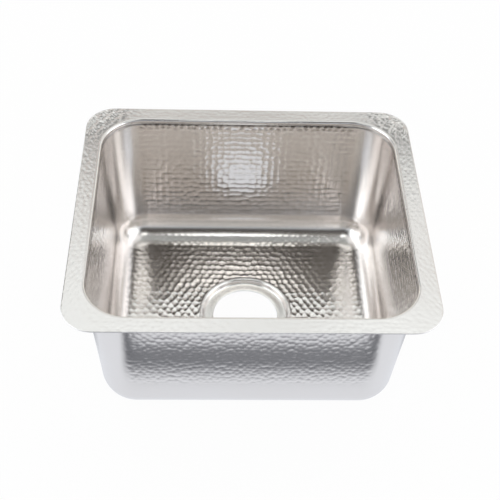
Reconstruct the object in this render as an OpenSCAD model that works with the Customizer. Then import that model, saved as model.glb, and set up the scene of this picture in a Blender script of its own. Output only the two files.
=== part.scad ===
// Prep sink: a pressed stainless tub with a flat flange and a recessed drain ring.
// The origin is on the drain's axis, level with the underside of the drain ring.
// +X is the width, +Y points to the back and +Z is up.

/* [Sheet] */
// Thickness of the steel sheet
sheet = 1.5; // [0.8:0.1:2.4]

/* [Flange] */
// Width of the flange from side to side
flange_w = 432; // [360:1:560]
// Depth of the flange from front to back
flange_d = 381; // [330:1:500]
// Radius of the flange's corners
flange_corner_r = 38; // [10:1:60]
// Flange between its outer edge and the bowl's wall
flange_land = 23; // [16:0.5:36]
// Inside radius of the bend from the flange down into the wall
flange_bend_r = 2; // [1:0.5:6]
// How far the collar reaches below the top of the flange
collar_h = 7; // [6:0.5:20]

/* [Bowl] */
// Depth of the bowl from the top of the flange to the floor
bowl_depth = 203; // [140:1:260]
// Lean of the walls, in degrees from upright
wall_draft = 3; // [0:0.25:5]
// Radius of the bowl's upright corners at the top
bowl_corner_r = 53; // [46:1:90]
// Radius between the walls and the floor
floor_fillet_r = 35; // [8:1:40]

/* [Drain] */
// Diameter of the drain hole
drain_d = 88.9; // [60:0.1:114.3]
// Width of the flat seat round the drain hole
seat_w = 11; // [5:0.5:20]
// Drop from the floor to the drain seat
recess_depth = 6.5; // [4.8:0.1:12]
// Inside radius of the bend from the floor down into the recess
recess_shoulder_r = 2; // [0.5:0.25:2.25]

/* [Damping pads] */
// Thickness of the pads
pad_t = 2.5; // [1:0.25:5]
// Length of the left and right pads, from front to back
side_pad_l = 170; // [80:5:200]
// Length of the front and rear pads, from side to side
end_pad_l = 120; // [60:5:140]
// Clear floor between a pad and the recess or the bottom fillet
pad_margin = 12; // [6:1:16]
// Radius of the pads' corners
pad_corner_r = 6; // [1:0.5:9]

/* [Hidden] */
$fn = 120;

// Cuts reach this far past the faces that they go through
cut = 1;
// The least flat floor left inside a corner, where the bottom fillet meets it
least_floor_r = 1;

// Heights above the underside of the drain ring
seat_z = sheet;
floor_z = seat_z + recess_depth;
rim_z = floor_z + bowl_depth;
joint_z = rim_z - collar_h;

// The upright corners turn about the same four axes at every height
corner_x = flange_w / 2 - flange_land - bowl_corner_r;
corner_y = flange_d / 2 - flange_land - bowl_corner_r;

// The bottom fillet is tangent to the leaning wall and to the floor
fillet_room = (bowl_corner_r - bowl_depth * tan(wall_draft) - least_floor_r)
    / (1 / cos(wall_draft) - tan(wall_draft));
fillet_r = min(floor_fillet_r, fillet_room);
fillet_z = floor_z + fillet_r;
fillet_u = wall_u(fillet_z) - fillet_r / cos(wall_draft);

// The flange's bend is tangent to its top and to the leaning wall
bend_top_r = flange_bend_r + sheet;
bend_z = rim_z - bend_top_r;
bend_u = wall_u(bend_z) + bend_top_r / cos(wall_draft);

// The drain ring, out from the hole: seat, foot of the recess, shoulder, floor
drain_r = drain_d / 2;
shoulder_top_r = recess_shoulder_r + sheet;
foot_r = recess_depth - shoulder_top_r;
foot_u = drain_r + seat_w;
ring_r = foot_u + foot_r + shoulder_top_r;

// Flat floor from the middle to the bottom fillets
floor_x = corner_x + fillet_u;
floor_y = corner_y + fillet_u;
side_pad_x = (ring_r + floor_x) / 2;
side_pad_w = floor_x - ring_r - 2 * pad_margin;
end_pad_y = (ring_r + floor_y) / 2;
end_pad_w = floor_y - ring_r - 2 * pad_margin;

// Distance of the wall's inner face from a corner's axis, at height z
function wall_u(z) = bowl_corner_r - (rim_z - z) * tan(wall_draft);

// A rectangle with round corners
module rounded_rectangle(w, d, r) {
    square([w - 2 * r, d], center = true);
    square([w, d - 2 * r], center = true);
    for (sx = [-1, 1], sy = [-1, 1])
        translate([sx * (w / 2 - r), sy * (d / 2 - r)])
            circle(r = r);
}

// A bent strip of sheet with inside radius r, from one angle to another
module bent_strip(r, from, to) {
    far = 2 * (r + sheet);
    middle = (from + to) / 2;
    intersection() {
        difference() {
            circle(r = r + sheet);
            circle(r = r);
        }
        polygon([
            [0, 0],
            far * [cos(from), sin(from)],
            far * [cos(middle), sin(middle)],
            far * [cos(to), sin(to)]
        ]);
    }
}

// The leaning wall between two heights, where each end is square to the wall or level
module wall_strip(low_in, low_out, high_in, high_out) {
    polygon([low_in, low_out, high_out, high_in]);
}

// Sweeps a profile, drawn outward from a corner's axis, round all four sides and corners
module round_the_bowl() {
    for (side = [0 : 3]) {
        reach = side % 2 == 0 ? corner_x : corner_y;
        span = side % 2 == 0 ? corner_y : corner_x;
        rotate([0, 0, 90 * side]) {
            translate([reach, 0, 0])
                rotate([90, 0, 0])
                    linear_extrude(height = 2 * span, center = true)
                        children();
            translate([reach, span, 0])
                rotate_extrude(angle = 90)
                    children();
        }
    }
}

// A point on the wall's inner face at height z
function wall_in(z) = [wall_u(z), z];
// A point on the wall's outer face at height z
function wall_out(z) = [wall_u(z) + sheet / cos(wall_draft), z];
// A point at radius r from a centre, square to the wall, on the wall's side
function off_wall(centre, r, side) = centre + side * r * [cos(wall_draft), -sin(wall_draft)];

module rim_profile() {
    centre = [bend_u, bend_z];
    translate(centre)
        bent_strip(flange_bend_r, 90, 180 - wall_draft);
    wall_strip(
        wall_in(joint_z),
        wall_out(joint_z),
        off_wall(centre, bend_top_r, -1),
        off_wall(centre, flange_bend_r, -1)
    );
}

module bowl_profile() {
    centre = [fillet_u, fillet_z];
    wall_strip(
        off_wall(centre, fillet_r, 1),
        off_wall(centre, fillet_r + sheet, 1),
        wall_in(joint_z),
        wall_out(joint_z)
    );
    translate(centre)
        bent_strip(fillet_r, -90, -wall_draft);
    translate([0, floor_z - sheet])
        square([fillet_u, sheet]);
}

module rim() {
    color("gainsboro") {
        translate([0, 0, rim_z - sheet])
            linear_extrude(height = sheet)
                difference() {
                    rounded_rectangle(flange_w, flange_d, flange_corner_r);
                    rounded_rectangle(2 * (corner_x + bend_u), 2 * (corner_y + bend_u), bend_u);
                }
        round_the_bowl()
            rim_profile();
    }
}

module bowl() {
    color("silver")
        difference() {
            union() {
                round_the_bowl()
                    bowl_profile();
                translate([-corner_x, -corner_y, floor_z - sheet])
                    cube([2 * corner_x, 2 * corner_y, sheet]);
            }
            translate([0, 0, floor_z - sheet - cut])
                cylinder(r = ring_r, h = sheet + 2 * cut);
        }
}

module drain_seat() {
    color("lightgray")
        rotate_extrude() {
            translate([drain_r, seat_z - sheet])
                square([seat_w, sheet]);
            translate([foot_u, seat_z + foot_r])
                bent_strip(foot_r, -90, 0);
            translate([ring_r, floor_z - shoulder_top_r])
                bent_strip(recess_shoulder_r, 90, 180);
        }
}

// A flat pad glued under the floor, centred on the given point
module sound_pad(x, y, w, d) {
    color("dimgray")
        translate([x, y, floor_z - sheet - pad_t])
            linear_extrude(height = pad_t)
                rounded_rectangle(w, d, pad_corner_r);
}

module sound_pad_left() {
    sound_pad(-side_pad_x, 0, side_pad_w, side_pad_l);
}

module sound_pad_right() {
    sound_pad(side_pad_x, 0, side_pad_w, side_pad_l);
}

module sound_pad_front() {
    sound_pad(0, -end_pad_y, end_pad_l, end_pad_w);
}

module sound_pad_rear() {
    sound_pad(0, end_pad_y, end_pad_l, end_pad_w);
}

rim();
bowl();
drain_seat();
sound_pad_left();
sound_pad_right();
sound_pad_front();
sound_pad_rear();
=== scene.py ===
"""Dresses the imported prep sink: hammered sheet, finishes, studio and camera.

Sizes are in millimetres until a mesh is written, which is in metres. The origin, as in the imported
model, is on the drain's axis at the lowest face, with +X to the right, +Y to the back and +Z up.
"""
import logging
import math
from dataclasses import dataclass, field
from enum import Enum

import bpy
import numpy as np
from mathutils import Matrix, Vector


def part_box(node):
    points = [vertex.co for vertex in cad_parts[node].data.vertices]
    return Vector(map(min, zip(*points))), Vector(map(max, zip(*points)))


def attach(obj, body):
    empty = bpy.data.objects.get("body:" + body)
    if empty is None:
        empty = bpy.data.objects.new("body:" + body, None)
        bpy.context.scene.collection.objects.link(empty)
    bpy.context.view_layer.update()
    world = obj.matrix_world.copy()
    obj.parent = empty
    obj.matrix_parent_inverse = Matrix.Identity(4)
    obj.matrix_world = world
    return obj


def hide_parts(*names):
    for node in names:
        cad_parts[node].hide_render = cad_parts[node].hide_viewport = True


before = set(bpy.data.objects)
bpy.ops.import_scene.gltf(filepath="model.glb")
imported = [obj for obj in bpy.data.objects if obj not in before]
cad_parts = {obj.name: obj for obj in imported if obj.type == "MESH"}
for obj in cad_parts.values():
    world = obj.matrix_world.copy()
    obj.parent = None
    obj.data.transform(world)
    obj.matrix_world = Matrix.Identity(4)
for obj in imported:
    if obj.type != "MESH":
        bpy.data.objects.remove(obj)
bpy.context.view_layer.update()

log = logging.getLogger("prep_sink")

MM = 0.001
BODY = "root"
# Keeps a division clear of zero, and a comparison of levels clear of rounding.
TINY = 1e-9
# Nearly all values of a noise texture lie between these two.
NOISE_LOW = 0.3
NOISE_HIGH = 0.7
# x * (1 - x)**2 peaks at 4 / 27, so this brings the peak of the wall's bow to 1.
BOW_SCALE = 27 / 4


def linear(colour: str) -> tuple[float, float, float, float]:
    """Turns an sRGB hex colour into linear red, green, blue and alpha.

    Args:
        colour: Six hex digits after a hash.

    Returns:
        Four linear values, with alpha 1.
    """
    parts = [int(colour[i : i + 2], 16) / 255 for i in (1, 3, 5)]
    return (*[p / 12.92 if p <= 0.04045 else ((p + 0.055) / 1.055) ** 2.4 for p in parts], 1.0)


def add_node(
    tree: bpy.types.NodeTree,
    kind: str,
    settings: dict[str | int, object],
    links: dict[str | int, bpy.types.NodeSocket],
) -> bpy.types.Node:
    """Adds a node with its settings and links.

    Args:
        tree: The node tree that gets the node.
        kind: The node's type name.
        settings: Values for the node's properties, or for its input sockets by name or number.
        links: Output sockets for its input sockets, by name or number.

    Returns:
        The new node.
    """
    node = tree.nodes.new(kind)
    for name, value in settings.items():
        if isinstance(name, int) or name in node.inputs:
            node.inputs[name].default_value = value
        else:
            setattr(node, name, value)
    for name, output in links.items():
        tree.links.new(output, node.inputs[name])
    return node


def empty_nodes(owner: bpy.types.Material | bpy.types.World) -> bpy.types.NodeTree:
    """Switches a material or world to nodes and empties its tree.

    Args:
        owner: The material or world.

    Returns:
        The empty tree.
    """
    owner.use_nodes = True
    owner.node_tree.nodes.clear()
    return owner.node_tree


def smooth_rise(x: np.ndarray, width: float) -> np.ndarray:
    """Rises smoothly from 0 at x = 0 to 1 at x = width."""
    t = np.clip(x / width, 0.0, 1.0)
    return t * t * (3 - 2 * t)


def arc(middle: tuple[float, float], r: float, turn: np.ndarray) -> list[tuple[float, float]]:
    """Draws a section's arc about a middle, one point for each angle."""
    return [(middle[0] + r * math.cos(a), middle[1] + r * math.sin(a)) for a in turn]


def band_faces(grid: np.ndarray) -> np.ndarray:
    """Joins the rows of a grid of point numbers into quads, and each row's end to its start."""
    ahead = np.roll(grid, -1, axis=1)
    return np.stack([grid[:-1], grid[1:], ahead[1:], ahead[:-1]], -1).reshape(-1, 4)


def tube_faces(rows: int, around: int) -> np.ndarray:
    """Joins a closed section, swept full circle, into quads.

    Args:
        rows: Points of the section.
        around: Stations that it is swept through.

    Returns:
        Four point numbers for each quad.
    """
    grid = np.arange(rows * around).reshape(rows, around)
    ahead, below = np.roll(grid, -1, axis=1), np.roll(grid, -1, axis=0)
    cross = np.roll(ahead, -1, axis=0)
    return np.stack([grid, ahead, cross, below], -1).reshape(-1, 4)


def mesh_piece(
    name: str, points: np.ndarray, faces: list[list[int]], finish: "Finish"
) -> bpy.types.Object:
    """Makes a smooth-shaded object from points and faces.

    Args:
        name: The object's name.
        points: N by 3 places in millimetres.
        faces: Lists of point numbers, wound so that normals point out of the metal.
        finish: What the piece is made of.

    Returns:
        The object, linked to the scene.
    """
    mesh = bpy.data.meshes.new(name)
    mesh.from_pydata((points * MM).tolist(), [], faces)
    mesh.polygons.foreach_set("use_smooth", [True] * len(mesh.polygons))
    mesh.materials.append(finish.material())
    mesh.validate()
    piece = bpy.data.objects.new(name, mesh)
    bpy.context.scene.collection.objects.link(piece)
    return piece


def write_share(piece: bpy.types.Object, name: str, share: np.ndarray) -> None:
    """Writes a share from 0 to 1 at each point, which the steel's finish reads by its name."""
    worked = piece.data.attributes.new(name, "FLOAT", "POINT")
    worked.data.foreach_set("value", share.astype(np.float32))


@dataclass(frozen=True)
class SinkSizes:
    """Sizes of the pressed sheet in millimetres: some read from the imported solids, some named here."""

    flange_w: float
    flange_d: float
    rim_z: float
    joint_z: float
    floor_z: float
    sheet: float = 1.5
    flange_land: float = 23.0
    flange_corner_r: float = 38.0
    bend_r: float = 2.0
    corner_r: float = 53.0
    draft: float = math.radians(3.0)
    fillet_r: float = 35.0
    drain_r: float = 44.45
    seat_w: float = 11.0
    shoulder_r: float = 2.0
    wall_bow: float = 0.8

    @classmethod
    def from_frame(cls) -> "SinkSizes":
        """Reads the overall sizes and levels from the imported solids.

        Returns:
            The sizes.
        """
        low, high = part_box("rim")
        return cls(
            flange_w=(high.x - low.x) / MM,
            flange_d=(high.y - low.y) / MM,
            rim_z=high.z / MM,
            joint_z=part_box("bowl")[1].z / MM,
            floor_z=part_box("drain_seat")[1].z / MM,
        )

    @property
    def corner_x(self) -> float:
        """Distance of the upright corners' axes from the middle, to the side."""
        return self.flange_w / 2 - self.flange_land - self.corner_r

    @property
    def corner_y(self) -> float:
        """Distance of the upright corners' axes from the middle, to the front or back."""
        return self.flange_d / 2 - self.flange_land - self.corner_r

    def wall_u(self, z: float) -> float:
        """Distance of the straight wall's inner face from a corner's axis, at height z."""
        return self.corner_r - (self.rim_z - z) * math.tan(self.draft)

    @property
    def fillet_centre(self) -> tuple[float, float]:
        """Centre of the bottom fillet: distance from a corner's axis, and height."""
        z = self.floor_z + self.fillet_r
        return self.wall_u(z) - self.fillet_r / math.cos(self.draft), z

    @property
    def bend_centre(self) -> tuple[float, float]:
        """Centre of the flange's bend: distance from a corner's axis, and height."""
        r = self.bend_r + self.sheet
        return self.wall_u(self.rim_z - r) + r / math.cos(self.draft), self.rim_z - r

    @property
    def foot_r(self) -> float:
        """Radius at the foot of the drain recess."""
        return self.floor_z - self.sheet - self.shoulder_r - self.sheet

    @property
    def ring_r(self) -> float:
        """Outer radius of the drain ring, where the hammered floor starts."""
        return self.drain_r + self.seat_w + self.foot_r + self.shoulder_r + self.sheet


class Side(Enum):
    """The bowl's four sides, counter-clockwise from the right as seen from above."""

    RIGHT = 0
    BACK = 1
    LEFT = 2
    FRONT = 3


@dataclass(frozen=True)
class HammerPattern:
    """Overlapping round hammer marks, struck in rows, with every other row shifted by the stagger.

    Rows and stagger are shares of the pitch, and so is the jitter of a mark's place. Uneven is the
    spread of the depths, and tilt that of the slopes that the blows land with. Marks with a fall
    lean down towards the middle, over an oval zone that fades out. Flat is how flat the hammer's
    face is, from 0 for a dome to 1, and flat_meets is the squared distance, in pitches, at which
    both are equally deep.
    """

    pitch: float
    face_r: float
    jitter: float
    uneven: float
    tilt: float
    seed: int
    rows: float = 0.866
    stagger: float = 0.5
    fall: float = 0.0
    fall_from: float = 72.0
    fall_over: float = 48.0
    fall_oval: float = 0.65
    flat: float = 0.0
    flat_meets: float = 0.3
    table_side: int = 64

    def depth(self, x: np.ndarray, y: np.ndarray) -> np.ndarray:
        """Depth of the marks at each place, in millimetres, about a mean of zero.

        Args:
            x: Places along the rows, in millimetres.
            y: Places across the rows, in millimetres.

        Returns:
            The depth at each place, positive into the sheet.
        """
        # Each mark draws five numbers: two for its place, two for its slope and one for its depth.
        chance = np.random.default_rng(self.seed).random((self.table_side, self.table_side, 5)) - 0.5
        row_height = self.pitch * self.rows
        row = np.floor(y / row_height).astype(int)
        deepest = np.full(np.shape(x), -np.inf)
        for down in (-1, 0, 1, 2):
            r = row + down
            shift = (r % 2) * self.stagger
            column = np.floor(x / self.pitch - shift).astype(int)
            for across in (-1, 0, 1, 2):
                c = column + across
                luck = chance[r % self.table_side, c % self.table_side]
                cx = (c + shift + self.jitter * luck[..., 0]) * self.pitch
                cy = r * row_height + self.jitter * luck[..., 1] * self.pitch
                dx, dy = x - cx, y - cy
                away = dx * dx + dy * dy
                edge = 1 + self.flat * (away / (self.flat_meets * self.pitch * self.pitch) - 1)
                dome = away * edge / (2 * self.face_r)
                lean = self.tilt * (luck[..., 2] * dx + luck[..., 3] * dy)
                if self.fall:
                    reach = np.hypot(self.fall_oval * cx, cy) + TINY
                    steep = self.fall * (1 - smooth_rise(reach - self.fall_from, self.fall_over))
                    lean -= steep * (dx * cx + dy * cy) / reach
                deepest = np.maximum(deepest, self.uneven * luck[..., 4] - dome + lean)
        # The mean of a dome over its cell: a twelfth of each side squared, over twice its radius.
        return deepest + self.pitch**2 * (1 + self.rows**2) / (2 * 12 * self.face_r)


@dataclass(frozen=True)
class StruckWall:
    """Hammer marks on one wall, which end below the joint, some way down and round the corners.

    Polish is how much the blows burnish the steel, from 0 to 1.
    """

    side: Side
    marks: HammerPattern
    runs_down: float
    fades_over: float
    polish: float = 0.5
    starts_over: float = 2.0
    corner_reach: float = 10.0
    corner_fade: float = 5.0

    def share(self, run: np.ndarray, beyond: np.ndarray) -> np.ndarray:
        """Share of the marks' full depth at each place.

        Args:
            run: Distance down the sheet from the joint.
            beyond: Distance past the end of the flat wall, round the corner.

        Returns:
            The share, from 0 to 1.
        """
        ends = smooth_rise(self.runs_down - run, self.fades_over)
        starts = smooth_rise(run, self.starts_over)
        return ends * starts * smooth_rise(self.corner_reach - beyond, self.corner_fade)


@dataclass
class RoundTheBowl:
    """Stations round the four sides and corners that the sheet is swept through.

    Each station has a base on the rectangle through the corner axes, a direction out, the number
    of its side, its distance along that side from the middle, half that side's span, and the
    column of the first station on the same base.
    """

    sizes: SinkSizes
    grain: float = 1.4
    corner_steps: int = 40
    corner_arc_r: float = 48.0
    base: np.ndarray = field(init=False)
    out: np.ndarray = field(init=False)
    side: np.ndarray = field(init=False)
    along: np.ndarray = field(init=False)
    span: np.ndarray = field(init=False)
    column: np.ndarray = field(init=False)

    def __post_init__(self) -> None:
        """Lays out the stations, counter-clockwise from the front of the right side."""
        base, out, side, along, span, column = [], [], [], [], [], []
        x, y = self.sizes.corner_x, self.sizes.corner_y
        for k in range(4):
            reach, half = (x, y) if k % 2 == 0 else (y, x)
            cos, sin = round(math.cos(k * math.pi / 2)), round(math.sin(k * math.pi / 2))
            steps = round(2 * half / self.grain)
            for i in range(steps + 1):
                a = half * (2 * i / steps - 1)
                base.append((cos * reach - sin * a, sin * reach + cos * a))
                out.append((cos, sin))
                side.append(k)
                along.append(a)
                span.append(half)
                column.append(len(column) if i or not column else column[-1])
            for i in range(1, self.corner_steps):
                turn = i / self.corner_steps * math.pi / 2
                base.append(base[-1])
                out.append((math.cos(turn + k * math.pi / 2), math.sin(turn + k * math.pi / 2)))
                near = 2 * i <= self.corner_steps
                side.append(k if near else (k + 1) % 4)
                span.append(half if near else (y if k % 2 else x))
                past = self.corner_arc_r * (turn if near else turn - math.pi / 2)
                along.append(past + span[-1] if near else past - span[-1])
                column.append(column[-1])
        last = self.corner_steps - 1
        column[-last:] = [0] * last
        column[-last - 1] = 0
        self.base, self.out = np.array(base), np.array(out)
        self.side, self.along, self.span = np.array(side), np.array(along), np.array(span)
        self.column = np.array(column)

    def places(self, u: np.ndarray, z: np.ndarray) -> np.ndarray:
        """Sweeps a profile round every station.

        Args:
            u: Distance of each profile point from the corner axes.
            z: Height of each profile point.

        Returns:
            Rows by stations by 3 places.
        """
        flat = self.base[None] + u[:, None, None] * self.out[None]
        return np.dstack([flat, np.broadcast_to(z[:, None], flat.shape[:2])])

    def normals(self, nu: np.ndarray, nz: np.ndarray) -> np.ndarray:
        """Sweeps a profile's normals round every station, rows by stations by 3."""
        flat = nu[:, None, None] * self.out[None]
        return np.dstack([flat, np.broadcast_to(nz[:, None], flat.shape[:2])])

    def past_wall(self) -> np.ndarray:
        """Distance of each station past the end of its flat wall, round the corner."""
        return np.maximum(np.abs(self.along) - self.span, 0.0)


@dataclass(frozen=True)
class Finish:
    """A finish that a piece can wear."""

    name: str

    def material(self) -> bpy.types.Material:
        """Makes the finish's material, once.

        Returns:
            The material.
        """
        found = bpy.data.materials.get(self.name)
        if found:
            return found
        made = bpy.data.materials.new(self.name)
        self.fill(empty_nodes(made))
        return made

    def fill(self, tree: bpy.types.NodeTree) -> None:
        """Builds the finish's nodes in an empty tree."""
        raise NotImplementedError


@dataclass(frozen=True)
class StainlessFinish(Finish):
    """Stainless steel, grade 304, pressed and polished, in soft clouds of two tints.

    Roughness is that of steel which no hammer struck, and the dark brown tone is painted shade along the
    joint, under the flange's edge.
    """

    pale: str
    warm: str
    roughness: float
    roughness_spread: float
    cloud_mm: float
    scratch_mm: float
    scratch_depth: float
    struck_roughness: float
    joint_shade: str = "#55483D"

    def fill(self, tree: bpy.types.NodeTree) -> None:
        """Mixes two steel tints in soft clouds, mixes in painted shade along the joint, and blurs the
        shine less where hammers struck it.

        Args:
            tree: The empty tree.
        """
        place = {"Vector": add_node(tree, "ShaderNodeTexCoord", {}, {}).outputs["Object"]}
        clouds = {"Scale": 1 / (self.cloud_mm * MM), "Detail": 3.0, "Roughness": 0.55}
        cloud = add_node(tree, "ShaderNodeTexNoise", clouds, place)
        tints = {"data_type": "RGBA", 6: linear(self.pale), 7: linear(self.warm)}
        tint = add_node(tree, "ShaderNodeMix", tints, {0: cloud.outputs["Fac"]})
        # Painted shade: a dark brown tone along the joint under the flange's edge, by the share the bowl
        # writes.
        joint_shade_share = add_node(tree, "ShaderNodeAttribute", {"attribute_name": "joint_shade_share"}, {})
        over = {0: joint_shade_share.outputs["Fac"], 6: tint.outputs[2]}
        joint_shaded = add_node(tree, "ShaderNodeMix", {"data_type": "RGBA", 7: linear(self.joint_shade)}, over)
        scratches = {"Scale": 1 / (self.scratch_mm * MM), "Detail": 4.0, "Roughness": 0.6}
        rub = add_node(tree, "ShaderNodeTexNoise", scratches, place).outputs["Fac"]
        low, high = self.roughness - self.roughness_spread, self.roughness + self.roughness_spread
        spread = {"From Min": NOISE_LOW, "From Max": NOISE_HIGH, "To Min": low, "To Max": high}
        blur = add_node(tree, "ShaderNodeMapRange", spread, {"Value": rub})
        struck = add_node(tree, "ShaderNodeAttribute", {"attribute_name": "struck"}, {})
        under = {0: struck.outputs["Fac"], 2: blur.outputs["Result"]}
        smooth = {"data_type": "FLOAT", 3: self.struck_roughness}
        burnished = add_node(tree, "ShaderNodeMix", smooth, under)
        deep = {"Strength": 1.0, "Distance": self.scratch_depth * MM}
        relief = add_node(tree, "ShaderNodeBump", deep, {"Height": rub})
        worn = {
            "Base Color": joint_shaded.outputs[2],
            "Roughness": burnished.outputs[0],
            "Normal": relief.outputs["Normal"],
        }
        steel = add_node(tree, "ShaderNodeBsdfPrincipled", {"Metallic": 1.0}, worn)
        add_node(tree, "ShaderNodeOutputMaterial", {}, {"Surface": steel.outputs["BSDF"]})


@dataclass(frozen=True)
class RubberFinish(Finish):
    """Moulded damping rubber, dusty in patches, with a fine stipple from the mould."""

    dark: str
    dusty: str
    roughness: float
    dust_mm: float
    stipple_mm: float
    stipple_depth: float
    ior: float = 1.52

    def fill(self, tree: bpy.types.NodeTree) -> None:
        """Dusts the rubber in patches and stipples its surface.

        Args:
            tree: The empty tree.
        """
        place = {"Vector": add_node(tree, "ShaderNodeTexCoord", {}, {}).outputs["Object"]}
        patches = {"Scale": 1 / (self.dust_mm * MM), "Detail": 5.0}
        dust = add_node(tree, "ShaderNodeTexNoise", patches, place)
        tints = {"data_type": "RGBA", 6: linear(self.dark), 7: linear(self.dusty)}
        tint = add_node(tree, "ShaderNodeMix", tints, {0: dust.outputs["Fac"]})
        bumps = {"Scale": 1 / (self.stipple_mm * MM), "Detail": 1.0}
        stipple = add_node(tree, "ShaderNodeTexNoise", bumps, place)
        deep = {"Strength": 1.0, "Distance": self.stipple_depth * MM}
        relief = add_node(tree, "ShaderNodeBump", deep, {"Height": stipple.outputs["Fac"]})
        matt = {"Roughness": self.roughness, "Metallic": 0.0, "IOR": self.ior}
        dusty = {"Base Color": tint.outputs[2], "Normal": relief.outputs["Normal"]}
        rubber = add_node(tree, "ShaderNodeBsdfPrincipled", matt, dusty)
        add_node(tree, "ShaderNodeOutputMaterial", {}, {"Surface": rubber.outputs["BSDF"]})


# 304 sheet, drawn, struck with a domed hammer and polished. It gives the eye a field of small
# soft mirrors, each a little sharper than the steel round it, and a brown line of painted shade
# along the weld, under the flange's edge. The real polish leaves scratches about 0.05 mm apart.
# They are drawn 1.4 mm apart, because finer ones don't show.
HAMMERED_STEEL = StainlessFinish(
    name="hammered_304_sheet",
    pale="#EAE6E3",
    warm="#E7E2DE",
    roughness=0.24,
    roughness_spread=0.03,
    cloud_mm=45.0,
    scratch_mm=1.4,
    scratch_depth=0.004,
    struck_roughness=0.145,
)
# The same sheet, bent flat and polished brighter. It gives the eye a pale, even band with a low
# ripple. Its scratches are drawn coarser than they are, as above.
FLANGE_STEEL = StainlessFinish(
    name="polished_304_flange",
    pale="#EAE6E4",
    warm="#E7E3E0",
    roughness=0.2,
    roughness_spread=0.04,
    cloud_mm=30.0,
    scratch_mm=1.2,
    scratch_depth=0.004,
    struck_roughness=0.14,
)
# 304 sheet, drawn in a die and never struck. It gives the eye a smooth ring. Its tints are a
# little paler than the hammered floor's: painted light, for the brightness the ring shows. Its
# scratches are drawn coarser than they are, as above.
DRAIN_STEEL = StainlessFinish(
    name="drawn_304_ring",
    # Painted light: paler than the bowl's steel, so that the ring shows brighter.
    pale="#F2EFEC",
    warm="#EFECE9",
    roughness=0.2,
    roughness_spread=0.03,
    cloud_mm=25.0,
    scratch_mm=0.9,
    scratch_depth=0.003,
    struck_roughness=0.2,
)
# Butyl rubber from a stippled mould. It gives the eye a matt dark grey without highlights, a
# little paler where dust settled. A real stipple is about 0.2 mm apart. It is drawn 0.9 mm
# apart, because a finer one doesn't show.
PAD_RUBBER = RubberFinish(
    name="moulded_butyl_rubber",
    dark="#2B2B2D",
    dusty="#3A3A3B",
    roughness=0.72,
    dust_mm=50 / 3,
    stipple_mm=0.9,
    stipple_depth=0.12,
)


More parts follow.
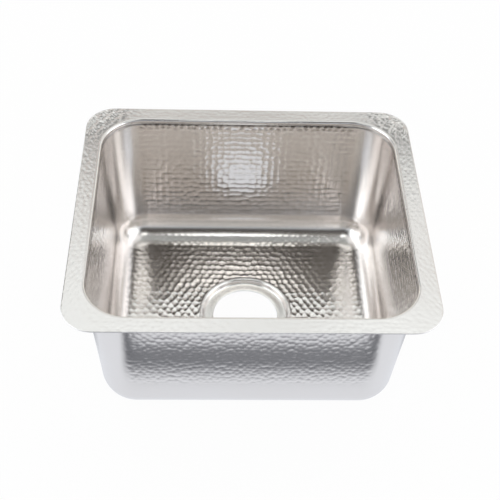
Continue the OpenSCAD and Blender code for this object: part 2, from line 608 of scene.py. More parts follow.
@dataclass
class Bowl:
    """The hammered tub: walls, corners, bottom fillets and floor, in sheet of even thickness.

    The floor's marks fade at the drain ring and in the corners, are eased near the two sides, and
    creep up the foot of the fillets, where foot_depth deepens them. The walls' marks are deeper
    just under the dressed weld, and shade is painted along its seam, under the flange's edge, and
    into the marks next to it.
    """

    sizes: SinkSizes
    ring: RoundTheBowl
    walls: tuple[StruckWall, ...] = (
        StruckWall(
            side=Side.RIGHT,
            marks=HammerPattern(pitch=9.0, face_r=40.0, jitter=0.36, uneven=0.05, tilt=0.05, seed=11),
            runs_down=132.0,
            fades_over=60.0,
            polish=0.9,
        ),
        StruckWall(
            side=Side.BACK,
            marks=HammerPattern(
                pitch=8.8, face_r=44.0, jitter=0.28, uneven=0.05, tilt=0.05, seed=12,
                rows=0.94, stagger=0.1,
            ),
            runs_down=194.0,
            fades_over=90.0,
        ),
        StruckWall(
            side=Side.LEFT,
            marks=HammerPattern(pitch=9.0, face_r=40.0, jitter=0.36, uneven=0.05, tilt=0.05, seed=13),
            runs_down=132.0,
            fades_over=60.0,
            polish=0.9,
        ),
        StruckWall(
            side=Side.FRONT,
            marks=HammerPattern(
                pitch=8.0, face_r=60.0, jitter=0.4, uneven=0.05, tilt=0.05, seed=14, rows=0.72
            ),
            runs_down=136.0,
            fades_over=6.0,
        ),
    )
    floor_marks: HammerPattern = HammerPattern(
        pitch=9.4, face_r=84.0, jitter=0.28, uneven=0.03, tilt=0.03, seed=29,
        rows=0.88, fall=0.1, fall_from=48.0, fall_over=64.0, flat=0.3,
    )
    floor_fade: float = 3.0
    corner_reach: float = 9.0
    corner_fade: float = 8.0
    foot_marks: float = 24.0
    foot_fade: float = 12.0
    foot_depth: float = 1.6
    eased: float = 0.4
    ease_from: float = 96.0
    ease_over: float = 40.0
    weld_dressing: float = 1.2
    dressing_reach: float = 14.0
    # Painted shade along the joint: the width of its line, its share on the line and in the marks, and
    # how deep and how far down the marks take it.
    seam_line: float = 2.4
    seam_shade: float = 0.8
    mark_shade: float = 0.6
    shade_depth: float = 0.2
    shade_from: float = 3.0
    shade_reach: float = 9.0
    edge_r: float = 0.7
    fillet_steps: int = 38
    strip_steps: int = 6
    floor_rings: int = 72

    def profile(self) -> tuple[np.ndarray, ...]:
        """Draws the inner face outward from a corner's axis, from the rim's joint to the floor.

        Returns:
            Distances, heights, the two parts of the normals that point into the sheet, and the
            distance run down the sheet.
        """
        s = self.sizes
        cu, cz = s.fillet_centre
        low_z = cz - s.fillet_r * math.sin(s.draft)
        rows = round((s.joint_z - low_z) / self.ring.grain)
        z = np.linspace(s.joint_z, low_z, rows + 1)
        down = (s.joint_z - z) / (s.joint_z - low_z)
        u = np.array([s.wall_u(h) for h in z]) + BOW_SCALE * s.wall_bow * down * (1 - down) ** 2
        steeper = BOW_SCALE * s.wall_bow * (1 - down) * (1 - 3 * down) / (s.joint_z - low_z)
        lean = s.draft - np.arctan(steeper)
        nu, nz = np.cos(lean), -np.sin(lean)
        turn = np.linspace(-s.draft, -math.pi / 2, self.fillet_steps + 1)[1:]
        strip = np.linspace(cu, 0.0, self.strip_steps + 1)[1:]
        u = np.concatenate([u, cu + s.fillet_r * np.cos(turn), strip])
        z = np.concatenate([z, cz + s.fillet_r * np.sin(turn), np.full(len(strip), s.floor_z)])
        nu = np.concatenate([nu, np.cos(turn), np.zeros(len(strip))])
        nz = np.concatenate([nz, np.sin(turn), -np.ones(len(strip))])
        run = np.concatenate([[0.0], np.cumsum(np.hypot(np.diff(u), np.diff(z)))])
        return u, z, nu, nz, run

    def wall_depth(self, run: np.ndarray) -> tuple[np.ndarray, np.ndarray]:
        """Hammer marks on the four walls, deepest just under the dressed weld.

        Args:
            run: Distance of the profile's points down the sheet from the joint.

        Returns:
            Rows by stations of depth, and of the marks' share.
        """
        ring = self.ring
        depth = np.zeros((len(run), len(ring.side)))
        share = np.zeros(depth.shape)
        beyond = ring.past_wall()
        for wall in self.walls:
            here = ring.side == wall.side.value
            down = run[:, None] + np.zeros(here.sum())[None]
            along = np.broadcast_to(ring.along[here], down.shape)
            share[:, here] = wall.share(down, beyond[here][None])
            harder = 1 + self.weld_dressing * (1 - smooth_rise(down, self.dressing_reach))
            depth[:, here] = wall.marks.depth(along, down) * share[:, here] * harder
            share[:, here] *= wall.polish
        return depth, share

    def floor_depth(self, x: np.ndarray, y: np.ndarray) -> tuple[np.ndarray, np.ndarray]:
        """Hammer marks on the flat floor, faded out in its corners and at the drain ring.

        Args:
            x: Places from the middle, to the side.
            y: Places from the middle, to the back.

        Returns:
            The depth at each place, and the marks' share.
        """
        s = self.sizes
        reach = s.fillet_centre[0]
        past_x, past_y = np.abs(x) - s.corner_x, np.abs(y) - s.corner_y
        corner = reach - np.hypot(np.maximum(past_x, 0.0), np.maximum(past_y, 0.0))
        beyond = np.minimum(past_x, past_y) * self.ring.corner_arc_r / reach
        round_corner = np.maximum(
            smooth_rise(corner, 2 * self.floor_fade),
            smooth_rise(self.corner_reach - beyond, self.corner_fade),
        )
        share = np.where(beyond > 0, round_corner, 1.0)
        share = share * smooth_rise(np.hypot(x, y) - s.ring_r, self.floor_fade) * self.side_ease(x)
        return self.floor_marks.depth(x, y) * share, share

    def side_ease(self, x: np.ndarray) -> np.ndarray:
        """Share of the marks' depth that is left near the floor's two side edges."""
        return 1 - self.eased * smooth_rise(np.abs(x) - self.ease_from, self.ease_over)

    def fillet_share(self, run: np.ndarray, x: np.ndarray, on_floor: np.ndarray) -> np.ndarray:
        """Share of the floor's marks at each place that they creep up to.

        Args:
            run: Distance of the profile's points down the sheet from the joint.
            x: Rows by stations of places from the middle, to the side.
            on_floor: Which rows lie on the flat floor, where the share is 0.

        Returns:
            Rows by stations of the share.
        """
        foot = run[np.argmax(on_floor)]
        share = smooth_rise(run[:, None] - foot + self.foot_marks, self.foot_fade)
        share = share * smooth_rise(self.corner_reach - self.ring.past_wall(), self.corner_fade)
        share = share * self.side_ease(x)
        share[on_floor] = 0.0
        return share

    def painted_joint_shade(self, run: np.ndarray, depth: np.ndarray) -> np.ndarray:
        """Painted shade along the joint, under the flange's edge: an even line, and below it in the
        deepest marks.

        Args:
            run: Distance of the profile's points down the sheet from the joint.
            depth: Rows by stations of the marks' depth.

        Returns:
            Rows by stations of the tint's share.
        """
        seam = self.seam_shade * (1 - smooth_rise(run, self.seam_line))[:, None]
        fading = (1 - smooth_rise(run - self.shade_from, self.shade_reach))[:, None]
        return seam + self.mark_shade * smooth_rise(depth, self.shade_depth) * fading

    def floor_grid(self, edge: np.ndarray) -> tuple[np.ndarray, np.ndarray]:
        """Places the floor's rows, from the rectangle of the corner axes to the drain ring.

        Args:
            edge: Places on the rectangle, N by 2.

        Returns:
            Rows by N by 3 places, and the marks' share there.
        """
        s = self.sizes
        round_edge = s.ring_r * edge / np.linalg.norm(edge, axis=1, keepdims=True)
        f = (np.arange(1, self.floor_rings + 1) / self.floor_rings)[:, None, None]
        flat = edge[None] * (1 - f) + round_edge[None] * f
        depth, share = self.floor_depth(flat[..., 0], flat[..., 1])
        return np.dstack([flat, s.floor_z - depth]), share

    def inner_face(self) -> tuple[np.ndarray, ...]:
        """Places every point of the inner face, in rows from the joint to the drain's edge.

        Returns:
            Points, the normals into the sheet, the point number of each row and station, the
            marks' share at each point, and the share of painted shade along the joint at each point.
        """
        ring = self.ring
        u, z, nu, nz, run = self.profile()
        places, normals = ring.places(u, z), ring.normals(nu, nz)
        depth, share = self.wall_depth(run)
        joint_shade = self.painted_joint_shade(run, depth)
        on_floor = z <= self.sizes.floor_z + TINY
        flat = places[on_floor]
        depth[on_floor], share[on_floor] = self.floor_depth(flat[..., 0], flat[..., 1])
        creep = self.fillet_share(run, places[..., 0], on_floor)
        on_foot = self.floor_marks.depth(places[..., 0], places[..., 1])
        depth = depth * (1 - creep) + self.foot_depth * on_foot * creep
        share = np.maximum(share, creep)
        depth[0] += self.edge_r
        places = places + depth[..., None] * normals
        distinct, order = np.unique(ring.column, return_inverse=True)
        rings, ring_share = self.floor_grid(ring.base[distinct])
        whole, last = places[:-1].reshape(-1, 3), places[-1][distinct]
        points = np.concatenate([whole, last, rings.reshape(-1, 3)])
        struck = np.concatenate([share[:-1].ravel(), share[-1][distinct], ring_share.ravel()])
        down = np.zeros((len(points) - len(whole), 3))
        down[:, 2] = -1.0
        facing = np.concatenate([normals[:-1].reshape(-1, 3), down])
        upper = np.arange(len(whole)).reshape(-1, len(order))
        lower = len(whole) + np.arange(self.floor_rings + 1)[:, None] * len(last) + order[None]
        joint_shade_share = np.zeros(len(points))
        joint_shade_share[: len(whole)] = joint_shade[:-1].ravel()
        return points, facing, np.concatenate([upper, lower]), struck, joint_shade_share

    def build(self) -> bpy.types.Object:
        """Closes the inner and outer faces into one sheet.

        Returns:
            The tub.
        """
        points, facing, grid, struck, joint_shade_share = self.inner_face()
        count = len(points)
        both = np.concatenate([points, points + self.sizes.sheet * facing])
        inner = band_faces(grid)
        outer = inner[:, ::-1] + count
        ahead = np.roll(grid, -1, axis=1)
        top = np.stack([ahead[0], ahead[0] + count, grid[0] + count, grid[0]], -1)
        hole = np.stack([grid[-1], grid[-1] + count, ahead[-1] + count, ahead[-1]], -1)
        faces = []
        for quad in np.concatenate([inner, outer, top, hole]).tolist():
            # A corner's stations meet in one point on the floor, so quads there lose a side or go.
            face = [p for i, p in enumerate(quad) if p != quad[i - 1]]
            if len(face) > 2:
                faces.append(face)
        bowl = mesh_piece("hammered_bowl", both, faces, HAMMERED_STEEL)
        write_share(bowl, "struck", np.concatenate([struck, struck]))
        # Painted shade along the joint, on the inner face only.
        write_share(bowl, "joint_shade_share", np.concatenate([joint_shade_share, 0 * joint_shade_share]))
        return bowl


@dataclass
class Rim:
    """The flange with its bend and collar, as one sheet, and a groove where it meets the bowl.

    The sheet gathered at the two back corners. The marks are deeper there by the pucker, and sunk
    so far that no ridge stands over the flange.
    """

    sizes: SinkSizes
    ring: RoundTheBowl
    marks: HammerPattern = HammerPattern(
        pitch=7.2, face_r=44.0, jitter=0.5, uneven=0.05, tilt=0.05, seed=47
    )
    edge_r: float = 0.4
    groove_r: float = 0.7
    fade: float = 3.0
    pucker: float = 3.4
    pucker_r: float = 48.0
    pucker_core: float = 0.4
    sunk: float = 0.11
    land_steps: int = 18
    bend_steps: int = 8

    def outer_edge(self) -> np.ndarray:
        """Places each station on the flange's outer edge, whose corners have their own centres.

        Returns:
            Stations by 2 places.
        """
        s, ring = self.sizes, self.ring
        centre = np.array([s.flange_w / 2, s.flange_d / 2]) - s.flange_corner_r
        scale = centre / np.array([s.corner_x, s.corner_y])
        return ring.base * scale + s.flange_corner_r * ring.out

    def puckered(self, flat: np.ndarray) -> np.ndarray:
        """Deepens the marks at the two back corners, where the sheet gathered.

        Args:
            flat: Places on the flange, N by 2.

        Returns:
            How many times deeper than elsewhere the marks are at each place.
        """
        corner = np.array([self.sizes.flange_w / 2, self.sizes.flange_d / 2])
        away = np.linalg.norm(np.abs(flat) - corner, axis=1)
        near = 1 - smooth_rise(away - self.pucker_core * self.pucker_r, self.pucker_r)
        return 1 + self.pucker * near * (flat[:, 1] >= 0)

    def collar(self) -> tuple[np.ndarray, np.ndarray]:
        """Draws the section of the collar and bend.

        Returns:
            Distances and heights of the inside, upward from the joint, and of the outside, down
            to it.
        """
        s = self.sizes
        turn = np.linspace(math.pi - s.draft, math.pi / 2, self.bend_steps + 1)
        groove_z = s.joint_z + self.groove_r
        groove = [(s.wall_u(s.joint_z) + self.groove_r, s.joint_z), (s.wall_u(groove_z), groove_z)]
        inside = [*groove, *arc(s.bend_centre, s.bend_r + s.sheet, turn)]
        outside = arc(s.bend_centre, s.bend_r, turn[::-1])
        foot = (s.wall_u(s.joint_z) + s.sheet / math.cos(s.draft), s.joint_z)
        halfway = tuple((np.array(foot) + outside[-1]) / 2)
        return np.array(inside), np.array([*outside, halfway, foot])

    def land(self, start: np.ndarray, tip: np.ndarray) -> list[tuple[np.ndarray, np.ndarray]]:
        """Places the rows of the flat flange, and strikes its marks.

        Args:
            start: Where the flange leaves the bend, stations by 2.
            tip: Where its outer edge starts to round, stations by 2.

        Returns:
            Each row's places, and the marks' depth there.
        """
        rows = []
        for i in range(1, self.land_steps + 1):
            f = i / self.land_steps
            flat = start * (1 - f) + tip * f
            harder = self.puckered(flat)
            depth = harder * self.marks.depth(flat[:, 0], flat[:, 1]) + self.sunk * (harder - 1)
            depth *= smooth_rise(np.linalg.norm(flat - start, axis=1), self.fade)
            rows.append((flat, depth))
        return rows

    def build(self) -> bpy.types.Object:
        """Sweeps the closed section of collar, bend, flange and edge.

        Returns:
            The rim.
        """
        s, ring = self.sizes, self.ring
        inside, outside = self.collar()
        rows_in = ring.places(inside[:, 0], inside[:, 1])
        edge = self.outer_edge()
        land = self.land(rows_in[-1][:, :2], edge - self.edge_r * ring.out)
        rows = [rows_in]
        rows += [np.column_stack([flat, s.rim_z - depth])[None] for flat, depth in land]
        r = self.edge_r
        cut = r * (1 - math.sqrt(0.5))
        for inset, drop in ((cut, cut), (0.0, r), (0.0, s.sheet - r), (cut, s.sheet - cut)):
            level = np.full(len(edge), s.rim_z - drop)
            rows.append(np.column_stack([edge - inset * ring.out, level])[None])
        for flat, depth in land[::-1]:
            rows.append(np.column_stack([flat, s.rim_z - s.sheet - depth])[None])
        rows.append(ring.places(outside[:, 0], outside[:, 1]))
        places = np.concatenate(rows)
        places[..., 2] = np.minimum(places[..., 2], s.rim_z)
        faces = tube_faces(*places.shape[:2]).tolist()
        return mesh_piece("flange_rim", places.reshape(-1, 3), faces, FLANGE_STEEL)


@dataclass
class DrainRing:
    """The smooth pressed ring: shoulder, foot, flat seat and the drain hole's edge."""

    sizes: SinkSizes
    around: int = 180
    arc_steps: int = 8
    edge_r: float = 0.35
    edge_points: int = 4
    seat_shares: tuple[float, ...] = (0.33, 0.66)

    def section(self) -> np.ndarray:
        """Draws the closed section, down the inside to the hole and back up the outside.

        Returns:
            Distances from the drain's axis, and heights.
        """
        s, r = self.sizes, self.edge_r
        seat_z = s.sheet
        top_r, low_r = s.shoulder_r + s.sheet, s.foot_r + s.sheet
        foot_u, edge_u = s.drain_r + s.seat_w, s.drain_r + r
        shoulder = (s.ring_r, s.floor_z - top_r)
        steps, up, left = self.arc_steps + 1, math.pi / 2, math.pi
        points = arc(shoulder, top_r, np.linspace(up, left, steps))
        points += arc((foot_u, seat_z + s.foot_r), s.foot_r, np.linspace(0, -up, steps)[1:])
        points += [(foot_u - f * s.seat_w, seat_z) for f in self.seat_shares]
        points += arc((edge_u, seat_z - r), r, np.linspace(up, left, self.edge_points))
        points += arc((edge_u, r), r, np.linspace(left, 1.5 * math.pi, self.edge_points))
        points.append((foot_u, 0.0))
        points += arc((foot_u, low_r), low_r, np.linspace(-up, 0, steps)[1:])
        points += arc(shoulder, s.shoulder_r, np.linspace(left, up, steps)[1:])
        return np.array(points)

    def build(self) -> bpy.types.Object:
        """Turns the section about the drain's axis.

        Returns:
            The ring.
        """
        section = self.section()
        turn = np.linspace(0, 2 * math.pi, self.around, endpoint=False)
        heights = np.repeat(section[:, 1:], self.around, axis=1)
        places = np.stack([section[:, :1] * np.cos(turn), section[:, :1] * np.sin(turn), heights], -1)
        # The section runs the other way round than the rim's, so its quads are turned over.
        faces = tube_faces(len(section), self.around)[:, [0, 3, 2, 1]].tolist()
        return mesh_piece("drain_ring", places.reshape(-1, 3), faces, DRAIN_STEEL)


@dataclass
class SoundPad:
    """One rubber damping pad with moulded ribs, glued under the floor.

    Its ribs nest up to the bare middle, and their corners keep the least radius.
    """

    node: str
    corner_r: float = 6.0
    least_r: float = 0.4
    corner_steps: int = 6
    rib: float = 2.2
    groove: float = 1.1
    groove_depth: float = 0.6
    groove_slope: float = 0.3
    edge: float = 0.5
    bare_middle: float = 1.0

    def outline(self, w: float, d: float, inset: float) -> np.ndarray:
        """Draws the pad's round-cornered outline, drawn in by an inset.

        Args:
            w: Full width.
            d: Full depth.
            inset: How far the outline is drawn in.

        Returns:
            Points of the outline about its middle.
        """
        r = max(self.corner_r - inset, self.least_r)
        points = []
        for k, (sx, sy) in enumerate(((1, 1), (-1, 1), (-1, -1), (1, -1))):
            turn = [(k + i / self.corner_steps) * math.pi / 2 for i in range(self.corner_steps + 1)]
            points += arc((sx * (w / 2 - inset - r), sy * (d / 2 - inset - r)), r, turn)
        return np.array(points)

    def build(self) -> bpy.types.Object:
        """Stacks the outlines from the glued face to the last rib.

        Returns:
            The pad.
        """
        low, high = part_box(self.node)
        w, d = (high.x - low.x) / MM, (high.y - low.y) / MM
        middle = np.array([(low.x + high.x) / 2, (low.y + high.y) / 2]) / MM
        top, bottom = high.z / MM, low.z / MM
        levels = [(0.0, top), (0.0, bottom + self.edge), (self.edge, bottom)]
        inset = self.edge
        while inset + 2 * (self.rib + self.groove) < min(w, d) / 2 - self.bare_middle:
            inset += self.rib
            levels.append((inset, bottom))
            levels.append((inset + self.groove_slope, bottom + self.groove_depth))
            levels.append((inset + self.groove - self.groove_slope, bottom + self.groove_depth))
            inset += self.groove
            levels.append((inset, bottom))
        loops = []
        for k, z in levels:
            flat = self.outline(w, d, k) + middle
            loops.append(np.column_stack([flat, np.full(len(flat), z)]))
        grid = np.arange(sum(map(len, loops))).reshape(len(loops), -1)
        faces = band_faces(grid).tolist()
        faces.append(grid[0].tolist())
        faces.append(grid[-1][::-1].tolist())
        return mesh_piece(self.node + "_moulded", np.concatenate(loops), faces, PAD_RUBBER)


@dataclass(frozen=True)
class Card:
    """A plain card, lamp screen or sheet of painted shade near the sink, which only reflections see.

    Azimuth is measured from the back towards the right, in degrees, and so are elevation from
    level, width and height. A card with a place lies flat there, and its sizes are in metres. Soft
    is the share of the card over which its edges fade, and soft_ends is the same for its left and
    right ends where they differ. Clutter is how much its tone varies, in patches of so many
    degrees.
    """

    name: str
    wide: float
    high: float
    tone: str
    strength: float = 1.0
    azimuth: float = 0.0
    elevation: float = 0.0
    flat_at: tuple[float, float, float] | None = None
    distance: float = 1.6
    soft: float = 0.25
    soft_ends: float = 0.0
    clutter: float = 0.0
    clutter_degrees: float = 6.0
    eye_z: float = 0.12
    steps: int = 12

    def place(self, i: float, j: float) -> tuple[float, float, float]:
        """Gives the place of a point of the card.

        Args:
            i: How far across, from 0 to 1.
            j: How far up, from 0 to 1.

        Returns:
            Its place in metres.
        """
        if self.flat_at is not None:
            x, y, z = self.flat_at
            return (x + self.wide * (i - 0.5), y + self.high * (j - 0.5), z)
        up = math.radians(self.elevation + self.high * (j - 0.5))
        side = math.radians(self.azimuth + self.wide * (i - 0.5))
        return (
            self.distance * math.cos(up) * math.sin(side),
            self.distance * math.cos(up) * math.cos(side),
            self.distance * math.sin(up) + self.eye_z,
        )

    def build(self) -> bpy.types.Object:
        """Makes the card, hidden from the camera, from diffuse light and from shadows.

        Returns:
            The card.
        """
        row = self.steps + 1
        share = [(i / self.steps, j / self.steps) for j in range(row) for i in range(row)]
        faces = [
            (a, a + 1, a + row + 1, a + row)
            for a in (j * row + i for j in range(self.steps) for i in range(self.steps))
        ]
        mesh = bpy.data.meshes.new(self.name)
        mesh.from_pydata([self.place(i, j) for i, j in share], [], faces)
        spread = mesh.uv_layers.new(name="card")
        for loop in mesh.loops:
            spread.data[loop.index].uv = share[loop.vertex_index]
        mesh.materials.append(self.material())
        card = bpy.data.objects.new(self.name, mesh)
        card.visible_camera = False
        card.visible_diffuse = False
        card.visible_shadow = False
        bpy.context.scene.collection.objects.link(card)
        return card

    def material(self) -> bpy.types.Material:
        """Makes the card's tone, which clutter varies and which fades out at the edges.

        Returns:
            The material.
        """
        made = bpy.data.materials.new(self.name)
        tree = empty_nodes(made)
        place = add_node(tree, "ShaderNodeUVMap", {"uv_map": "card"}, {}).outputs["UV"]
        centre = {"operation": "SUBTRACT", 1: (0.5, 0.5, 0.0)}
        off = add_node(tree, "ShaderNodeVectorMath", centre, {0: place}).outputs[0]
        far = add_node(tree, "ShaderNodeVectorMath", {"operation": "ABSOLUTE"}, {0: off})
        parts = add_node(tree, "ShaderNodeSeparateXYZ", {}, {"Vector": far.outputs[0]}).outputs
        steeper = self.soft / (self.soft_ends or self.soft)
        squeeze = {"operation": "MULTIPLY_ADD", 1: steeper, 2: 0.5 * (1 - steeper)}
        along = add_node(tree, "ShaderNodeMath", squeeze, {0: parts["X"]}).outputs[0]
        reach = add_node(tree, "ShaderNodeMath", {"operation": "MAXIMUM"}, {0: along, 1: parts["Y"]})
        fade = {"interpolation_type": "SMOOTHSTEP", "From Min": 0.5, "From Max": 0.5 - self.soft}
        cover = add_node(tree, "ShaderNodeMapRange", fade, {"Value": reach.outputs[0]})
        room = add_node(tree, "ShaderNodeTexCoord", {}, {}).outputs["Object"]
        size = {"Scale": 1 / (self.distance * math.radians(self.clutter_degrees)), "Detail": 2.0}
        grain = add_node(tree, "ShaderNodeTexNoise", size, {"Vector": room})
        low, high = self.strength * (1 - self.clutter), self.strength * (1 + self.clutter)
        spread = {"From Min": NOISE_LOW, "From Max": NOISE_HIGH, "To Min": low, "To Max": high}
        level = add_node(tree, "ShaderNodeMapRange", spread, {"Value": grain.outputs["Fac"]})
        bright = {"Strength": level.outputs["Result"]}
        glow = add_node(tree, "ShaderNodeEmission", {"Color": linear(self.tone)}, bright)
        clear = add_node(tree, "ShaderNodeBsdfTransparent", {}, {})
        layers = {0: cover.outputs[0], 1: clear.outputs[0], 2: glow.outputs[0]}
        mix = add_node(tree, "ShaderNodeMixShader", {}, layers)
        add_node(tree, "ShaderNodeOutputMaterial", {}, {"Surface": mix.outputs[0]})
        return made


@dataclass
class Studio:
    """White floor and surroundings, cards and the camera."""

    floor_half: float = 6.0
    white_share: float = 0.95
    seen_white: str = "#FFFFFF"
    mirrored_white: str = "#EFF4FC"
    matt_white: str = "#F2F2F2"
    lens_mm: float = 69.26
    sensor_mm: float = 36.0
    nearest: float = 0.01
    farthest: float = 50.0
    pitch: float = math.radians(47.77)
    yaw: float = math.radians(3.42)
    roll: float = math.radians(-3.06)
    camera_at: tuple[float, float, float] = (-0.0480, -0.8334, 1.0566)
    cards: tuple[Card, ...] = ()

    def surroundings(self) -> None:
        """Lights everything evenly with a white world, strength 1."""
        world = bpy.data.worlds.new("white_room")
        tree = empty_nodes(world)
        white = add_node(tree, "ShaderNodeBackground", {"Color": (1, 1, 1, 1), "Strength": 1.0}, {})
        add_node(tree, "ShaderNodeOutputWorld", {}, {"Surface": white.outputs[0]})
        bpy.context.scene.world = world

    def floor(self) -> bpy.types.Object:
        """Lays the white floor, which shows white and keeps a share of the sink's shadow.

        Returns:
            The floor.
        """
        made = bpy.data.materials.new("white_floor")
        tree = empty_nodes(made)
        rays = add_node(tree, "ShaderNodeLightPath", {}, {}).outputs
        most = {"operation": "MAXIMUM"}
        bounced = {0: rays["Is Glossy Ray"], 1: rays["Is Transmission Ray"]}
        mirrored = add_node(tree, "ShaderNodeMath", most, bounced).outputs[0]
        seen = add_node(tree, "ShaderNodeMath", most, {0: rays["Is Camera Ray"], 1: mirrored})
        partly = {"operation": "MULTIPLY", 1: self.white_share}
        share = add_node(tree, "ShaderNodeMath", partly, {0: seen.outputs[0]})
        whites = {"data_type": "RGBA", 6: linear(self.seen_white), 7: linear(self.mirrored_white)}
        tone = add_node(tree, "ShaderNodeMix", whites, {0: mirrored})
        white = add_node(tree, "ShaderNodeEmission", {"Strength": 1.0}, {"Color": tone.outputs[2]})
        matt = add_node(tree, "ShaderNodeBsdfDiffuse", {"Color": linear(self.matt_white)}, {})
        layers = {0: share.outputs[0], 1: matt.outputs[0], 2: white.outputs[0]}
        mix = add_node(tree, "ShaderNodeMixShader", {}, layers)
        add_node(tree, "ShaderNodeOutputMaterial", {}, {"Surface": mix.outputs[0]})
        mesh = bpy.data.meshes.new("floor")
        h = self.floor_half
        mesh.from_pydata([(-h, -h, 0), (h, -h, 0), (h, h, 0), (-h, h, 0)], [], [(0, 1, 2, 3)])
        mesh.materials.append(made)
        floor = bpy.data.objects.new("floor", mesh)
        bpy.context.scene.collection.objects.link(floor)
        return floor

    def camera(self) -> bpy.types.Object:
        """Stands the camera where the photograph was taken from.

        Returns:
            The camera.
        """
        data = bpy.data.cameras.new("camera")
        data.lens = self.lens_mm
        data.sensor_width = self.sensor_mm
        data.clip_start = self.nearest
        data.clip_end = self.farthest
        eye = bpy.data.objects.new("camera", data)
        cos, sin = math.cos, math.sin
        level = cos(self.pitch)
        ahead = np.array([sin(self.yaw) * level, cos(self.yaw) * level, -sin(self.pitch)])
        right = np.array([cos(self.yaw), -sin(self.yaw), 0.0])
        down = np.cross(ahead, right)
        tilted_right = cos(self.roll) * right + sin(self.roll) * down
        tilted_down = -sin(self.roll) * right + cos(self.roll) * down
        axes = np.column_stack([tilted_right, -tilted_down, -ahead])
        pose = Matrix(axes.tolist()).to_4x4()
        pose.translation = self.camera_at
        eye.matrix_world = pose
        bpy.context.scene.collection.objects.link(eye)
        bpy.context.scene.camera = eye
        return eye

    def build(self) -> None:
        """Sets up the surroundings, floor, cards and camera."""
        self.surroundings()
        self.floor()
        for card in self.cards:
            card.build()
        self.camera()
        bpy.context.scene.view_settings.view_transform = "Standard"


# Painted shade: tones of grey sheets just above the floor that stand in for the sink's own shadow on the
# white floor, close by and wide round it.
SHADE = "#6D7077"
WIDE_SHADE = "#A4A7AD"

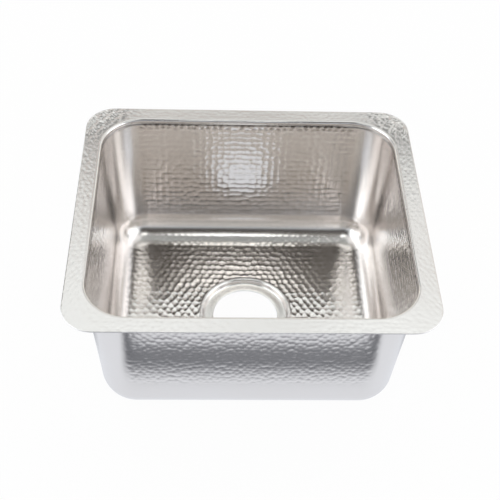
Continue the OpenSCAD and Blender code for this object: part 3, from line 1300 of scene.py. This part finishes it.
STUDIO = Studio(
    cards=(
        # A bright tent behind the sink and a dim room behind the camera, far off.
        Card(
            "tent_back", wide=130, high=100, tone="#FAFFFF", strength=1.09, elevation=46,
            distance=3.0, soft=0.02, clutter=0.2,
        ),
        Card(
            "dark_room", wide=130, high=100, tone="#7A7874", azimuth=180, elevation=46,
            distance=3.0, soft=0.02, clutter=0.4,
        ),
        # Screens at both sides, for the pale uprights in the corners and on the side walls.
        Card(
            "right_screen", wide=90, high=62, tone="#F6FAFF", strength=2.1,
            azimuth=104, elevation=28, clutter=0.15,
        ),
        Card(
            "left_screen", wide=90, high=62, tone="#F3FAFF", strength=2.7,
            azimuth=-104, elevation=28, clutter=0.15,
        ),
        # Grey boards at the back, which the flange and the floor's far end show.
        Card(
            "back_card", wide=90, high=52, tone="#E4E8E7", elevation=17,
            distance=2.8, soft=0.1, clutter=0.35, clutter_degrees=3,
        ),
        Card(
            "back_board", wide=40, high=13, tone="#C4BCB6", elevation=45,
            distance=2.75, soft=0.2, clutter=0.5, clutter_degrees=2.5,
        ),
        Card(
            "back_low", wide=90, high=26, tone="#FFFBF1", strength=1.35, elevation=5,
            distance=2.78, soft=0.05,
        ),
        # Dark posts, for the strokes in the marks at the flange's back corners.
        Card(
            "left_post", wide=7, high=13, tone="#121110", azimuth=-15, elevation=34,
            distance=2.7, soft=0.12, clutter=0.2,
        ),
        Card(
            "right_post", wide=7, high=13, tone="#121110", azimuth=20, elevation=34,
            distance=2.7, soft=0.12, clutter=0.2,
        ),
        # Boards between the screens and the back.
        Card(
            "left_board", wide=44, high=34, tone="#5A554F", azimuth=-48, elevation=36,
            distance=1.5, soft=0.3, clutter=0.4, clutter_degrees=3,
        ),
        Card(
            "right_board", wide=44, high=34, tone="#E8E2DC", azimuth=48, elevation=36,
            distance=1.5, soft=0.3, clutter=0.4, clutter_degrees=3,
        ),
        # What the back wall and the fillets show of the front and the ceiling.
        Card(
            "front_low", wide=90, high=50, tone="#D2DAE2", azimuth=180, elevation=18,
            distance=1.5, soft=0.08, clutter=0.3,
        ),
        Card(
            "ceiling", wide=1.0, high=1.0, tone="#A6AAA9",
            flat_at=(0.0, -0.02, 1.75), soft=0.15, clutter=0.3,
        ),
        # A narrow lamp over a dark shade near the bowl, for the floor's bright and dark parts.
        Card(
            "softbox", wide=116, high=11, tone="#FAFFFF", strength=2.7,
            azimuth=179, elevation=77.5, distance=0.6, soft=0.06, clutter=0.1,
        ),
        Card(
            "shade", wide=98, high=35, tone="#2B231C", azimuth=184, elevation=54.6,
            distance=0.6, soft=0.03, clutter=0.3,
        ),
        Card(
            "haze", wide=104, high=7, tone="#857C72", azimuth=183, elevation=69.4,
            distance=0.595, soft=0.14, clutter=0.2,
        ),
        # Painted shade close by: grey sheets that stand in for the sink's shadow on the floor, for the
        # dark band on the outside.
        Card(
            "front_shadow_sheet", wide=0.43, high=0.085, tone=SHADE,
            flat_at=(0.005, -0.240, 0.002), soft=0.38, soft_ends=0.09,
        ),
        Card(
            "left_end_shadow_sheet", wide=0.075, high=0.11, tone=SHADE,
            flat_at=(-0.180, -0.288, 0.003), soft=0.35,
        ),
        Card(
            "right_end_shadow_sheet", wide=0.075, high=0.11, tone=SHADE,
            flat_at=(0.195, -0.288, 0.003), soft=0.35,
        ),
        Card(
            "left_shadow_sheet", wide=0.085, high=0.28, tone=SHADE,
            flat_at=(-0.266, 0.03, 0.002), soft=0.38,
        ),
        Card(
            "right_shadow_sheet", wide=0.085, high=0.28, tone=SHADE,
            flat_at=(0.266, 0.03, 0.002), soft=0.38,
        ),
        Card(
            "back_shadow_sheet", wide=0.42, high=0.085, tone=SHADE,
            flat_at=(0.0, 0.240, 0.002), soft=0.38,
        ),
        # Painted shade further out, on grey sheets just above the floor, which keeps the outside from
        # going white in low views.
        Card(
            "front_far", wide=1.5, high=0.5, tone=WIDE_SHADE,
            flat_at=(0.0, -0.66, 0.0014), soft=0.42,
        ),
        Card(
            "back_far", wide=1.5, high=0.5, tone=WIDE_SHADE,
            flat_at=(0.0, 0.60, 0.0014), soft=0.42,
        ),
        Card(
            "left_far", wide=0.5, high=1.4, tone=WIDE_SHADE,
            flat_at=(-0.63, 0.0, 0.0012), soft=0.42,
        ),
        Card(
            "right_far", wide=0.5, high=1.4, tone=WIDE_SHADE,
            flat_at=(0.63, 0.0, 0.0012), soft=0.42,
        ),
    )
)


def main() -> None:
    """Builds every piece in order."""
    logging.basicConfig(level=logging.INFO, format="%(message)s")
    sizes = SinkSizes.from_frame()
    ring = RoundTheBowl(sizes)
    made = [
        (Rim(sizes, ring), "rim", "flange_stainless"),
        (Bowl(sizes, ring), "bowl", "hammered_stainless"),
        (DrainRing(sizes), "drain_seat", "smooth_stainless"),
    ]
    made += [
        (SoundPad("sound_pad_" + where), "sound_pad_" + where, "damping_rubber")
        for where in ("left", "right", "front", "rear")
    ]
    for maker, node, slot in made:
        piece = maker.build()
        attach(piece, BODY)
        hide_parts(node)
        log.info("%s: %d faces, for %s", piece.name, len(piece.data.polygons), node)
    STUDIO.build()


if __name__ == "__main__":
    main()
